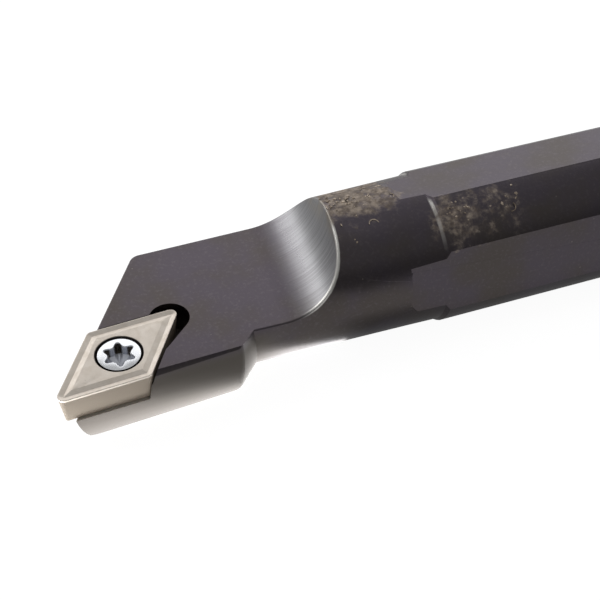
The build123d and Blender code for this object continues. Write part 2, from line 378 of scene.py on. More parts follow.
# ------------------------------------------------------------------ finishes
@dataclass(frozen=True)
class DustPatch:
    """Patch of fine cutting dust caught in oil, as a box on the bar with ragged borders."""

    along: Range  # mm, along the bar
    across: Range  # mm, from the cutting side
    lowest: float  # mm, above the axis
    cover: float  # share that is covered in the middle


@dataclass(frozen=True)
class BlackOxideSteel:
    """Tool steel, turned and milled, then blackened in a hot salt bath.

    The oxide is thin and satin: it reflects as a dark metal and hides no tool mark. It is rubbed
    thin in the milled gullet, where the cutter's lines shine. The gullet's rim is worn through to
    bare steel and lightened further as a painted highlight; the small chamfer of the shoulder carries
    a painted highlight, and the underside of the cheek is rubbed and lightened by a painted sheen.

    A range says where, in millimetres, something starts to show and where it shows in full.
    """

    oxide: str = "#59535a"
    oxide_warm: str = "#595351"
    etched: str = "#6e686b"
    # rubbed oxide under the cheek, lightened further as a painted sheen of the light from below
    rubbed_with_painted_sheen: str = "#68635e"
    haze: str = "#a39a8c"
    ground: str = "#a0a0a2"
    ground_low: str = "#8a898b"
    # bare steel of the ground seat and the worn rim; on the rim and the shoulder's chamfer it is also a
    # painted highlight
    bare_and_highlight: str = "#e6e4df"
    dust: str = "#c3b3a2"
    dust_dark: str = "#75675b"
    speck: str = "#a39b93"
    roughness: float = 0.34
    ground_roughness: float = 0.31
    steep_roughness: float = 0.5  # where the cutter left the wall and the gullet turns up
    bare_roughness: float = 0.38
    cheek_roughness: float = 0.6  # rubbed by handling and chips
    dust_roughness: float = 0.8
    dull_metal: float = 0.1  # metallic share of dust and specks
    grain: float = 0.3  # mm, mottle of the etched surface
    etch: float = 0.45  # mm, pale mottle in its colour
    cloud: float = 7.0  # mm, where the bath left it warmer
    haze_size: float = 2.5  # mm, dull film in the top of the gullet
    feed: float = 0.3  # mm, turned lines, drawn coarser than the real 0.1 mm so that they show
    scratch: float = 0.13  # mm, width of the lines in the gullet
    broad: float = 1.1  # mm, width of the cutter's waves in the gullet
    highlight_break: float = 1.6  # mm, gaps in the painted highlight on the shoulder's chamfer
    speck_cell: float = 1.5  # mm, one speck at most in a cell of this size
    specked: float = 0.76  # share of cells without a speck
    border: float = 2.2  # mm, bays in the border of a dust patch
    stray: float = 4.5  # mm, how far these reach
    clump: float = 1.3  # mm
    crumb: float = 0.9  # mm
    seat_depth: float = 3.97  # mm, face of the insert to the ground seat
    cheek_along: Range = (-170.0, -176.0)
    cheek_below: Range = (0.3, -1.5)
    wall_near: Range = (0.3, 0.12)  # off the gullet's round wall
    wall_below: Range = (0.9, 0.4)  # over the gullet's axis
    wall_along: Range = (0.8, 6.4)  # behind the gullet's lowest line
    steep_along: Range = (4.6, 6.8)
    haze_high: Range = (6.5, 8.8)
    rim_near: Range = (0.4, 0.2)
    rim_along: Range = (2.0, 5.0)
    rim_high: Range = (8.95, 8.3)
    rim_across: Range = (4.0, 1.0)
    edge_middle: float = 0.2  # middle of the painted highlight ahead of the shoulder
    edge_near: Range = (0.3, 0.1)
    edge_low: Range = (4.0, 7.5)
    edge_high: Range = (9.2, 8.8)
    etched_share: float = 0.35  # shares are how strong a coat gets
    haze_share: float = 0.7
    edge_share: float = 0.55
    seat_share: float = 0.75
    speck_share: float = 0.3
    dust_share: float = 0.85
    patches: tuple[DustPatch, ...] = (
        DustPatch((-163.5, -153.4), (-3.2, 6.0), 5.0, 1.0),
        DustPatch((-149.6, -138.5), (-8.4, -4.4), 4.0, 0.45),
        DustPatch((-149.6, -144.8), (-8.0, -4.2), 5.0, 0.8),
    )

    def patch_mask(self, tree: Tree, place: Socket, patch: DustPatch) -> Socket:
        """Cover of one dust patch, broken up by noise.

        Args:
            tree: Node tree.
            place: Coordinates in millimetres.
            patch: Where it lies.

        Returns:
            Cover from 0 to 1.
        """
        x, y, z = add_node(tree, Node.AXES, place).node.outputs
        bays = add_node(tree, Node.NOISE, place, 1 / self.border, 4.0, 0.65)
        wander = add_node(tree, Node.TIMES_PLUS, bays, 2 * self.stray, -self.stray)
        mask = add_node(tree, Node.OVER, z, patch.lowest)
        for axis, (low, high) in ((x, patch.along), (y, patch.across)):
            shifted = add_node(tree, Node.PLUS, axis, wander)
            inside = cover(tree, (shifted, low - 0.8, low + 1.2), (shifted, high + 0.8, high - 1.2))
            mask = add_node(tree, Node.TIMES, mask, inside)
        clumps = add_node(tree, Node.NOISE, place, 1 / self.clump, 5.0, 0.7)
        edge = 0.6 - 0.32 * patch.cover
        return add_node(tree, Node.TIMES, mask, cover(tree, (clumps, edge - 0.04, edge + 0.3)))

    def dusted(self, tree: Tree, place: Socket, kept_clean: Socket) -> Socket:
        """Cover of all the dust patches together.

        Args:
            tree: Node tree.
            place: Coordinates in millimetres.
            kept_clean: Cover of what dust doesn't stick to.

        Returns:
            Cover from 0 to 1.
        """
        dust = self.patch_mask(tree, place, self.patches[0])
        for patch in self.patches[1:]:
            dust = add_node(tree, Node.LARGER, dust, self.patch_mask(tree, place, patch))
        return add_node(tree, Node.TIMES, dust, add_node(tree, Node.MINUS, 1.0, kept_clean))

    def gullet_masks(self, tree: Tree, place: Socket) -> tuple[Socket, Socket, Socket]:
        """Where the gullet and its rim are.

        Args:
            tree: Node tree.
            place: Coordinates in millimetres.

        Returns:
            Coordinates in the gullet's frame, cover of its wall, cover of its rim.
        """
        local = local_place(tree, place, HEAD.gullet_matrix())
        along, _, out = add_node(tree, Node.AXES, local).node.outputs
        from_axis = off_axis(tree, local, (1, 0, 1))
        off_wall = add_node(tree, Node.MINUS, from_axis, HEAD.gullet_radius)
        off_wall = add_node(tree, Node.UNSIGNED, off_wall)
        wall = cover(tree, (off_wall, *self.wall_near), (out, *self.wall_below), (along, *self.wall_along))

        x, y, z = add_node(tree, Node.AXES, place).node.outputs
        radius = off_axis(tree, place, (0, 1, 1))
        behind = add_node(tree, Node.MINUS, x, HEAD.shoulder)
        taper = math.tan(math.radians(HEAD.neck_taper))
        neck = add_node(tree, Node.TIMES_PLUS, behind, taper, HEAD.neck_radius)
        off_neck = add_node(tree, Node.UNSIGNED, add_node(tree, Node.MINUS, neck, radius))
        off_rim = add_node(tree, Node.PLUS, off_neck, off_wall)
        # Cover of the rim: worn-through steel, lightened further as a painted highlight.
        rim = cover(
            tree,
            (off_rim, *self.rim_near),
            (along, *self.rim_along),
            (z, *self.rim_high),
            (y, *self.rim_across),
        )
        return local, wall, rim

    def shoulder_highlight_mask(self, tree: Tree, place: Socket) -> Socket:
        """Cover of the painted highlight on the shoulder's chamfer, which fades out towards the underside.

        Args:
            tree: Node tree.
            place: Coordinates in millimetres.

        Returns:
            Cover from 0 to 1.
        """
        x, _, z = add_node(tree, Node.AXES, place).node.outputs
        off = add_node(tree, Node.MINUS, x, HEAD.shoulder - self.edge_middle)
        off = add_node(tree, Node.UNSIGNED, off)
        broken = add_node(tree, Node.NOISE, place, 1 / self.highlight_break, 2.0)
        return cover(
            tree, (off, *self.edge_near), (z, *self.edge_low), (z, *self.edge_high), (broken, 0.2, 0.5)
        )

    def seat_mask(self, tree: Tree, place: Socket) -> Socket:
        """Cover of the ground seat under the insert.

        Args:
            tree: Node tree.
            place: Coordinates in millimetres.

        Returns:
            Cover from 0 to 1.
        """
        local = local_place(tree, place, HEAD.insert_matrix())
        height = add_node(tree, Node.AXES, local).node.outputs[2]
        off = add_node(tree, Node.UNSIGNED, add_node(tree, Node.PLUS, height, self.seat_depth))
        up = tuple(HEAD.turn().col[2])
        upright = add_node(tree, Node.ALIGNED, add_node(tree, Node.FACING), up)
        return cover(tree, (off, 0.12, 0.05), (upright, 0.9, 0.97))

    def specks(self, tree: Tree, place: Socket) -> Socket:
        """Cover of single light specks, a few in every hundred square millimetres.

        Args:
            tree: Node tree.
            place: Coordinates in millimetres.

        Returns:
            Cover from 0 to 1.
        """
        distance = add_node(tree, Node.CELLS, place, 1 / self.speck_cell, 1.0)
        chance = add_node(tree, Node.AXES, distance.node.outputs["Color"])
        chosen = add_node(tree, Node.OVER, chance, self.specked)
        dots = add_node(tree, Node.TIMES, cover(tree, (distance, 0.085, 0.04)), chosen)
        return add_node(tree, Node.TIMES, dots, self.speck_share)

    def build(self) -> bpy.types.Material:
        """Makes the material.

        Returns:
            The finished material.
        """
        material, tree, shader = new_material("black_oxide_on_milled_tool_steel")
        place = millimetres(tree)
        x, _, z = add_node(tree, Node.AXES, place).node.outputs
        local, wall, rim = self.gullet_masks(tree, place)
        turned_up = cover(tree, (add_node(tree, Node.AXES, local), *self.steep_along))
        steep = add_node(tree, Node.TIMES, wall, turned_up)
        # Underside of the cheek, lightened as rubbed oxide and as a painted sheen.
        cheek = cover(tree, (x, *self.cheek_along), (z, *self.cheek_below))
        # Painted highlight on the shoulder's chamfer.
        shoulder_highlight = add_node(tree, Node.TIMES, self.shoulder_highlight_mask(tree, place), self.edge_share)
        seat = add_node(tree, Node.TIMES, self.seat_mask(tree, place), self.seat_share)
        # Bare ground seat, with the rim and the shoulder's chamfer as painted highlights.
        bright = add_node(tree, Node.LARGER, seat, add_node(tree, Node.LARGER, rim, shoulder_highlight))
        speck = self.specks(tree, place)
        dust = self.dusted(tree, place, add_node(tree, Node.LARGER, rim, wall))

        grain = add_node(tree, Node.NOISE, place, 1 / self.grain, 3.0, 0.6)
        etched = add_node(tree, Node.NOISE, place, 1 / self.etch, 3.0, 0.6)
        cloud = add_node(tree, Node.NOISE, place, 1 / self.cloud, 3.0)
        film = add_node(tree, Node.NOISE, place, 1 / self.haze_size, 2.0)
        crumbs = add_node(tree, Node.NOISE, place, 1 / self.crumb, 4.0, 0.55)
        lines = drawn_out(tree, place, (self.feed, 14.0, 14.0), 2.0)
        scratch = drawn_out(tree, local, (9.0, self.scratch, 9.0), 3.0, 0.7)
        broad = drawn_out(tree, local, (20.0, self.broad, 20.0), 2.0)

        pale = add_node(tree, Node.TIMES, cover(tree, (etched, 0.5, 0.72)), self.etched_share)
        warm = cover(tree, (cloud, 0.35, 0.7))
        oxide = lay(tree, Node.MIX_COLOUR, self.oxide, (warm, self.oxide_warm), (pale, self.etched))
        dull = cover(tree, (film, 0.3, 0.6), (z, *self.haze_high))
        dull = add_node(tree, Node.TIMES, dull, self.haze_share)
        lit = cover(tree, (scratch, 0.3, 0.65))
        shine = lay(tree, Node.MIX_COLOUR, self.ground_low, (lit, self.ground), (dull, self.haze))
        light = cover(tree, (crumbs, 0.34, 0.7))
        dust_colour = lay(tree, Node.MIX_COLOUR, self.dust_dark, (light, self.dust))
        colour = lay(
            tree,
            Node.MIX_COLOUR,
            oxide,
            (wall, shine),
            (cheek, self.rubbed_with_painted_sheen),
            (bright, self.bare_and_highlight),
            (speck, self.speck),
            (add_node(tree, Node.TIMES, dust, self.dust_share), dust_colour),
        )

        calm = add_node(tree, Node.TIMES, grain, add_node(tree, Node.MINUS, 1.0, wall))
        rough = lay(tree, Node.MIX, self.roughness, (wall, self.ground_roughness))
        for pattern in (cloud, calm):
            uneven = add_node(tree, Node.TIMES_PLUS, pattern, 0.1, -0.05)
            rough = add_node(tree, Node.PLUS, rough, uneven)
        rough = lay(
            tree,
            Node.MIX,
            rough,
            (steep, self.steep_roughness),
            (cheek, self.cheek_roughness),
            (rim, self.bare_roughness),
            (dust, self.dust_roughness),
        )
        dulled = add_node(tree, Node.LARGER, dust, speck)
        cut = add_node(tree, Node.TIMES, add_node(tree, Node.PLUS, scratch, broad), wall)
        heap = add_node(tree, Node.TIMES, dust, crumbs)
        normal = relief(
            tree, (calm, 0.010, 0.5), (lines, 0.003, 0.4), (cut, 0.005, 0.5), (heap, 0.06, 0.8)
        )
        metallic = lay(tree, Node.MIX, 1.0, (dulled, self.dull_metal))
        fill_inputs(
            shader, {"Base Color": colour, "Roughness": rough, "Metallic": metallic, "Normal": normal}
        )
        return material


def gap_shade_mask(tree: Tree, local: Socket, radius: float, depth: float) -> Socket:
    """Where the gap round the screw's head is darkened: painted shade, with old oil in it.

    Args:
        tree: Node tree.
        local: Coordinates in the insert's frame.
        radius: Only what lies outside this radius from the screw's axis.
        depth: Only what lies deeper than this below the insert's face.

    Returns:
        Cover from 0 to 1.
    """
    height = add_node(tree, Node.AXES, local).node.outputs[2]
    distance = off_axis(tree, local, (1, 1, 0))
    return cover(
        tree,
        (distance, radius - 0.03, radius + 0.03),
        (distance, 3.2, 3.0),
        (height, -depth + 0.03, -depth - 0.03),
    )


@dataclass(frozen=True)
class CoatedCarbide:
    """Cemented carbide, pressed and sintered, with a thin vapour-deposited coating.

    The pressed surface is finely granular and the coating gives a satin champagne sheen.
    """

    coating: str = "#dbd2c8"
    coating_shade: str = "#cfc5b9"
    flank: str = "#aa9d8d"
    pit: str = "#8b8072"
    # painted shade in the gap round the screw, with old oil in it
    gap_shade_and_oil: str = "#1a1210"
    roughness: float = 0.4
    flank_roughness: float = 0.7
    top_metal: float = 0.8
    flank_metal: float = 0.1
    grain: float = 0.12  # mm, drawn coarser than the powder so that it shows
    mottle: float = 1.3  # mm
    pit_cell: float = 0.8  # mm, one pit at most in a cell of this size
    pitted: float = 0.86  # share of cells without a pit

    def build(self) -> bpy.types.Material:
        """Makes the material.

        Returns:
            The finished material.
        """
        material, tree, shader = new_material("vapour_coated_cemented_carbide")
        place = millimetres(tree)
        local = local_place(tree, place, HEAD.insert_matrix())
        grain = add_node(tree, Node.NOISE, place, 1 / self.grain, 3.0, 0.6)
        mottle = add_node(tree, Node.NOISE, place, 1 / self.mottle, 4.0, 0.6)
        shaded = cover(tree, (mottle, 0.3, 0.72))
        side = cover(tree, (add_node(tree, Node.AXES, local).node.outputs[2], -0.24, -0.4))
        # Painted shade in the gap round the screw's head.
        gap_shade = gap_shade_mask(tree, local, 2.0, 0.05)

        distance = add_node(tree, Node.CELLS, place, 1 / self.pit_cell, 1.0)
        chance = add_node(tree, Node.AXES, distance.node.outputs["Color"]).node.outputs[1]
        chosen = add_node(tree, Node.OVER, chance, self.pitted)
        pit = add_node(tree, Node.TIMES, cover(tree, (distance, 0.16, 0.06)), chosen)
        pit = add_node(tree, Node.TIMES, pit, add_node(tree, Node.TIMES_PLUS, side, 0.7, 0.3))

        colour = lay(
            tree,
            Node.MIX_COLOUR,
            self.coating,
            (shaded, self.coating_shade),
            (side, self.flank),
            (add_node(tree, Node.TIMES, pit, 0.6), self.pit),
            (gap_shade, self.gap_shade_and_oil),
        )
        rough = add_node(tree, Node.TIMES_PLUS, mottle, 0.12, self.roughness - 0.06)
        rough = lay(tree, Node.MIX, rough, (side, self.flank_roughness))
        metallic = lay(tree, Node.MIX, self.top_metal, (side, self.flank_metal), (gap_shade, 0.0))
        normal = relief(tree, (grain, 0.012, 0.6), (pit, -0.03, 0.6))
        fill_inputs(
            shader, {"Base Color": colour, "Roughness": rough, "Metallic": metallic, "Normal": normal}
        )
        return material


@dataclass(frozen=True)
class BrightScrewSteel:
    """Cold-headed alloy steel, bright plated: a cool mirror that the tumbling left slightly dull."""

    plating: str = "#eceef2"
    socket: str = "#d6d9e2"
    # painted shade on the socket's far walls
    wall: str = "#4a433b"
    # painted shade in the gap round the head, with old oil in it
    gap_shade_and_oil: str = "#1a1210"
    roughness: float = 0.2
    oil_roughness: float = 0.7
    wave: float = 1.2  # mm, unevenness of the forged face
    rim_radius: float = 2.55
    socket_radius: float = 2.05
    socket_metal: float = 0.4  # the film of oil in the socket is dull

    def build(self) -> bpy.types.Material:
        """Makes the material.

        Returns:
            The finished material.
        """
        material, tree, shader = new_material("bright_plated_screw_steel")
        place = millimetres(tree)
        local = local_place(tree, place, HEAD.insert_matrix())
        wave = add_node(tree, Node.NOISE, place, 1 / self.wave, 3.0)
        _, across, height = add_node(tree, Node.AXES, local).node.outputs
        distance = off_axis(tree, local, (1, 1, 0))
        inner, outer = self.socket_radius - 0.03, self.socket_radius + 0.03
        inside = cover(tree, (distance, outer, inner), (height, -0.2, -0.3))
        # The socket's far walls get a painted shade.
        lobes = cover(tree, (distance, 1.35, 1.6), (across, -0.9, 0.1))
        painted_wall_shade = add_node(tree, Node.TIMES, inside, lobes)
        # Painted shade in the gap round the head.
        gap_shade = gap_shade_mask(tree, local, self.rim_radius, 0.1)
        colour = lay(
            tree,
            Node.MIX_COLOUR,
            self.plating,
            (inside, self.socket),
            (painted_wall_shade, self.wall),
            (gap_shade, self.gap_shade_and_oil),
        )
        rough = add_node(tree, Node.TIMES_PLUS, wave, 0.14, self.roughness - 0.05)
        rough = lay(tree, Node.MIX, rough, (gap_shade, self.oil_roughness))
        metallic = lay(tree, Node.MIX, 1.0, (inside, self.socket_metal))
        normal = relief(tree, (wave, 0.015, 0.5))
        fill_inputs(
            shader, {"Base Color": colour, "Roughness": rough, "Metallic": metallic, "Normal": normal}
        )
        return material


@dataclass(frozen=True)
class OilySwarf:
    """Crumbs of cut metal caught in oil: pale, dull and slightly golden."""

    colour: str = "#c8b8a6"
    shade: str = "#8f7f6e"
    patch: float = 0.5  # mm
    metallic: float = 0.4
    roughness: float = 0.5

    def build(self) -> bpy.types.Material:
        """Makes the material.

        Returns:
            The finished material.
        """
        material, tree, shader = new_material("oily_swarf")
        patchy = add_node(tree, Node.NOISE, millimetres(tree), 1 / self.patch, 2.0)
        shaded = cover(tree, (patchy, 0.35, 0.65))
        colour = lay(tree, Node.MIX_COLOUR, self.colour, (shaded, self.shade))
        fill_inputs(
            shader, {"Base Color": colour, "Metallic": self.metallic, "Roughness": self.roughness}
        )
        return material


@dataclass(frozen=True)
class FloorPaper:
    """Matt white paper: it shows white to the camera and keeps a part of the shadow.

    In gloss it glows at its own plain level near the bar, with a painted shadow of the bar and a painted
    darkening towards the front.
    """

    sheet: str = "#f6f6f6"
    seen_by_camera: float = 0.8  # share of plain white in what the camera sees
    white: float = 1.19
    seen_by_gloss: float = 0.62
    far_gloss: float = 0.12
    under_gloss: float = 0.22  # painted shadow of the bar, in gloss
    front_edge: Range = (-0.095, -0.042)  # metres, where a painted darkening sets in towards the front, in gloss
    shadow_front: Range = (-0.017, -0.011)  # metres, borders of the painted shadow of the bar
    shadow_back: Range = (0.02, 0.012)
    shadow_end: Range = (-0.166, -0.158)

    def build(self) -> bpy.types.Material:
        """Makes the material.

        Returns:
            The finished material.
        """
        material = bpy.data.materials.new("white_floor_paper")
        material.use_nodes = True
        tree = material.node_tree
        tree.nodes.clear()
        along, across, _ = add_node(tree, Node.AXES, add_node(tree, Node.PLACE)).node.outputs
        near = cover(tree, (across, *self.front_edge))
        # Painted shadow of the bar, for gloss only.
        under = cover(
            tree, (across, *self.shadow_front), (across, *self.shadow_back), (along, *self.shadow_end)
        )
        camera_ray = add_node(tree, Node.CAMERA_RAY)
        level = lay(
            tree,
            Node.MIX,
            self.far_gloss,
            (near, self.seen_by_gloss),
            (under, self.under_gloss),
            (camera_ray, self.white),
        )
        by_camera = add_node(tree, Node.TIMES, camera_ray, self.seen_by_camera)
        share = add_node(tree, Node.LARGER, by_camera, add_node(tree, Node.GLOSSY_RAY))
        paper = add_node(tree, Node.MATT, self.sheet)
        plain = add_node(tree, Node.GLOW, level)
        add_node(tree, Node.MATERIAL_END, add_node(tree, Node.MIX_SHADER, share, paper, plain))
        return material


# ------------------------------------------------------------------ pieces
def ring_step(bm: bmesh.types.BMesh, ring: Edges, scale: float, lift: float) -> Edges:
    """Extrudes a closed ring of edges, scales it about the z axis and lifts it.

    Args:
        bm: The mesh.
        ring: Edges of the last ring.
        scale: New size as a share of the last ring's.
        lift: Move along z.

    Returns:
        Edges of the new ring.
    """
    made = bmesh.ops.extrude_edge_only(bm, edges=ring)["geom"]
    verts = [part for part in made if isinstance(part, bmesh.types.BMVert)]
    edges = [part for part in made if isinstance(part, bmesh.types.BMEdge)]
    new_ring = [edge for edge in edges if all(vert in verts for vert in edge.verts)]
    bmesh.ops.scale(bm, vec=(scale, scale, 1), verts=verts)
    bmesh.ops.translate(bm, vec=(0, 0, lift), verts=verts)
    return new_ring


def circle_ring(bm: bmesh.types.BMesh, count: int, radius: float, height: float) -> Edges:
    """Adds an open circle of edges about the z axis.

    Args:
        bm: The mesh.
        count: Number of edges.
        radius: Radius of the circle.
        height: Its height along z.

    Returns:
        Its edges.
    """
    verts = bmesh.ops.create_circle(bm, cap_ends=False, segments=count, radius=radius)["verts"]
    bmesh.ops.translate(bm, vec=(0, 0, height), verts=verts)
    return list(dict.fromkeys(edge for vert in verts for edge in vert.link_edges))


@dataclass
class CuttingInsert:
    """Rhombic insert with its pressed chip groove and countersunk hole."""

    finish: CoatedCarbide = field(default_factory=CoatedCarbide)
    thickness: float = 3.97
    clearance: float = 7.0  # degrees
    nose_radius: float = 0.8
    least_radius: float = 0.1
    hone: float = 0.05  # rounding of the cutting edge
    foot_chamfer: float = 0.08
    hole_radius: float = 2.2
    sink_radius: float = 2.9
    sink_angle: float = 60.0  # included
    sink_edge: float = 0.04
    corner_steps: int = 10
    side_cuts: int = 10
    groove: tuple[Range, ...] = (
        (0.10, 0.0),
        (0.16, -0.014),
        (0.62, -0.182),
        (0.68, -0.195),
        (0.74, -0.182),
        (1.28, -0.014),
        (1.36, 0.0),
    )  # inset from the edge and height, across the chip groove

    def ring(self, bm: bmesh.types.BMesh, inset: float, height: float) -> Edges:
        """Rounded rhomb, set in by the same amount all round, as a ring of edges.

        Its corners are true arcs, because a bevel's would bulge past the pressed outline.

        Args:
            bm: The mesh.
            inset: Distance in from the insert's outline.
            height: Its height over the insert's face.

        Returns:
            The ring's edges.
        """
        half = HEAD.half_side() * (1 - 2 * inset / HEAD.inscribed_dia)
        angle = math.radians(HEAD.insert_angle)
        radius = max(self.nose_radius - inset, self.least_radius)
        facing = -math.pi / 2
        verts = []
        blunt = math.pi - angle
        for i, j, turn in ((1, -1, angle), (1, 1, blunt), (-1, 1, angle), (-1, -1, blunt)):
            corner = Vector((half * (i + j * math.cos(angle)), half * j * math.sin(angle), height))
            back = radius / math.cos(turn / 2)
            middle = corner - back * Vector((math.cos(facing + turn / 2), math.sin(facing + turn / 2), 0))
            for step in range(self.corner_steps + 1):
                way = facing + turn * step / self.corner_steps
                verts.append(bm.verts.new(middle + radius * Vector((math.cos(way), math.sin(way), 0))))
            facing += turn
        before = set(bm.edges)
        edges = [bm.edges.new(pair) for pair in zip(verts, verts[1:] + verts[:1])]
        sides = [edges[(self.corner_steps + 1) * n - 1] for n in range(1, 5)]
        bmesh.ops.subdivide_edges(bm, edges=sides, cuts=self.side_cuts)
        return [edge for edge in bm.edges if edge not in before]

    def build(self) -> bpy.types.Object:
        """Makes the insert in place of its plain node.

        Returns:
            The piece.
        """
        bm = bmesh.new()
        lean = math.tan(math.radians(self.clearance))
        below = self.thickness - self.foot_chamfer
        hone_arc = [
            (self.hone * (1 - math.cos(a)), self.hone * (math.sin(a) - 1))
            for a in (math.radians(30), math.radians(60), math.radians(90))
        ]
        profile = [
            (self.thickness * lean + self.foot_chamfer, -self.thickness),
            (below * lean, -below),
            (0.0, -self.hone),
            *hone_arc,
            *self.groove,
        ]
        rings = [self.ring(bm, inset, height) for inset, height in profile]
        foot, face = rings[0], rings[-1]
        count = len(face)
        mouth = circle_ring(bm, count, self.sink_radius + self.sink_edge, 0.0)

        slope = math.tan(math.radians(self.sink_angle / 2))
        steps = [
            (self.sink_radius, -self.sink_edge),
            (self.hole_radius, -(self.sink_radius - self.hole_radius) / slope),
            (self.hole_radius, -self.thickness + self.foot_chamfer),
            (self.hole_radius + self.foot_chamfer, -self.thickness),
        ]
        bore = mouth
        radius, height = self.sink_radius + self.sink_edge, 0.0
        for new_radius, level in steps:
            bore = ring_step(bm, bore, new_radius / radius, level - height)
            radius, height = new_radius, level
        for lower, upper in zip([*rings, bore], [*rings[1:], mouth, foot]):
            bmesh.ops.bridge_loops(bm, edges=lower + upper)
        bmesh.ops.recalc_face_normals(bm, faces=bm.faces)
        bm.transform(metres(HEAD.insert_matrix()))
        piece = finish_piece("cutting_insert_pressed", bm, self.finish.build(), 9)
        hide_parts("cutting_insert")
        return piece


@dataclass
class ClampScrew:
    """Countersunk six-lobe screw with its thread."""

    finish: BrightScrewSteel = field(default_factory=BrightScrewSteel)
    steps: int = 96
    head_radius: float = 2.65
    head_sink: float = 0.12
    seat_gap: float = 0.02  # between its cone and the insert's
    sink_radius: float = 2.9  # rim of the countersink that it sits in
    rim_radius: float = 0.15
    cone_angle: float = 60.0
    core_radius: float = 1.42
    thread_radius: float = 1.74
    pitch: float = 0.6
    length: float = 9.6
    tip_chamfer: float = 0.5
    lobe_outer: float = 1.93
    lobe_inner: float = 1.3
    lobe_sharpness: float = 1.5
    socket_depth: float = 1.3
    socket_break: float = 0.1
    socket_draft: float = 0.02  # the socket narrows by this towards its floor
    socket_turn: float = 20.0  # degrees
    point_share: float = 0.15  # the punch's point, as a share of the floor's size
    point_depth: float = 0.45
    thread_top: float = -3.4  # middle of its first turn below the insert's face
    thread_free: float = 4.4  # length of the screw without thread
    thread_half: float = 0.264  # half of its width at the core
    thread_root: float = 0.03  # how far it is sunk in the core
    thread_steps: int = 32  # per turn

    def lobe_step(self, bm: bmesh.types.BMesh, ring: Edges, height: float, grow: float) -> Edges:
        """Extrudes a ring onto the six-lobe outline, grown outwards by a little.

        Args:
            bm: The mesh.
            ring: Edges of the last ring.
            height: Height of the new ring over the insert's face.
            grow: Added to the outline's radius.

        Returns:
            Edges of the new ring.
        """
        new_ring = ring_step(bm, ring, 1.0, 0.0)
        turn = math.radians(self.socket_turn)
        for vert in {vert for edge in new_ring for vert in edge.verts}:
            angle = math.atan2(vert.co.y, vert.co.x)
            share = ((1 + math.cos(6 * (angle - turn))) / 2) ** self.lobe_sharpness
            radius = self.lobe_inner + (self.lobe_outer - self.lobe_inner) * share + grow
            vert.co = Vector((radius * math.cos(angle), radius * math.sin(angle), height))
        return new_ring

    def build_head(self, bm: bmesh.types.BMesh) -> None:
        """Head, cone, core and tip, with the open socket.

        Args:
            bm: The mesh to add to.
        """
        top = -self.head_sink
        half_angle = math.radians(self.cone_angle / 2)
        cone_top = (self.head_radius - self.sink_radius) / math.tan(half_angle)
        cone_top += self.seat_gap / math.sin(half_angle)
        neck = cone_top - (self.head_radius - self.thread_radius) / math.tan(half_angle)
        tip = top - self.length
        outer = circle_ring(bm, self.steps, self.head_radius - self.rim_radius, top)
        ring = outer
        radius, height = self.head_radius - self.rim_radius, top
        inner, low = self.head_radius - self.rim_radius, top - self.rim_radius
        profile = [
            (inner + self.rim_radius * math.sin(a), low + self.rim_radius * math.cos(a))
            for a in (math.radians(30), math.radians(60), math.radians(90))
        ]
        profile += [
            (self.head_radius, cone_top),
            (self.thread_radius, neck),
            (self.thread_radius, neck - self.pitch),
            (self.core_radius, neck - 2 * self.pitch),
            (self.core_radius, tip + self.tip_chamfer),
            (self.core_radius - self.tip_chamfer, tip),
        ]
        for new_radius, level in profile:
            ring = ring_step(bm, ring, new_radius / radius, level - height)
            radius, height = new_radius, level
        bmesh.ops.contextual_create(bm, geom=ring)

        mouth = self.lobe_step(bm, outer, top, self.socket_break)
        edge = self.lobe_step(bm, mouth, top - self.socket_break, 0.0)
        floor = self.lobe_step(bm, edge, top - self.socket_depth, -self.socket_draft)
        point = ring_step(bm, floor, self.point_share, -self.point_depth)
        bmesh.ops.contextual_create(bm, geom=point)

    def build_thread(self, bm: bmesh.types.BMesh) -> None:
        """Helical ridge over the core, from a triangle that is spun and advanced.

        Args:
            bm: The mesh to add to.
        """
        turns = int((self.length - self.thread_free) / self.pitch)
        root = self.core_radius - self.thread_root
        section = [
            bm.verts.new((root, 0, self.thread_top - self.thread_half)),
            bm.verts.new((self.thread_radius, 0, self.thread_top)),
            bm.verts.new((root, 0, self.thread_top + self.thread_half)),
        ]
        face = bm.faces.new(section)
        bmesh.ops.spin(
            bm,
            geom=[face],
            axis=(0, 0, 1),
            dvec=(0, 0, -self.pitch / self.thread_steps),
            angle=math.tau * turns,
            steps=self.thread_steps * turns,
            use_merge=False,
        )

    def build(self) -> bpy.types.Object:
        """Makes the screw in place of its plain node.

        Returns:
            The piece.
        """
        bm = bmesh.new()
        self.build_head(bm)
        bmesh.ops.recalc_face_normals(bm, faces=bm.faces)
        thread = bmesh.new()
        self.build_thread(thread)
        bmesh.ops.recalc_face_normals(thread, faces=thread.faces)
        ridge = bpy.data.meshes.new("thread_ridge")
        thread.to_mesh(ridge)
        thread.free()
        bm.from_mesh(ridge)
        bpy.data.meshes.remove(ridge)
        bm.transform(metres(HEAD.insert_matrix()))
        piece = finish_piece("clamp_screw_threaded", bm, self.finish.build(), 35)
        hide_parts("clamp_screw")
        return piece


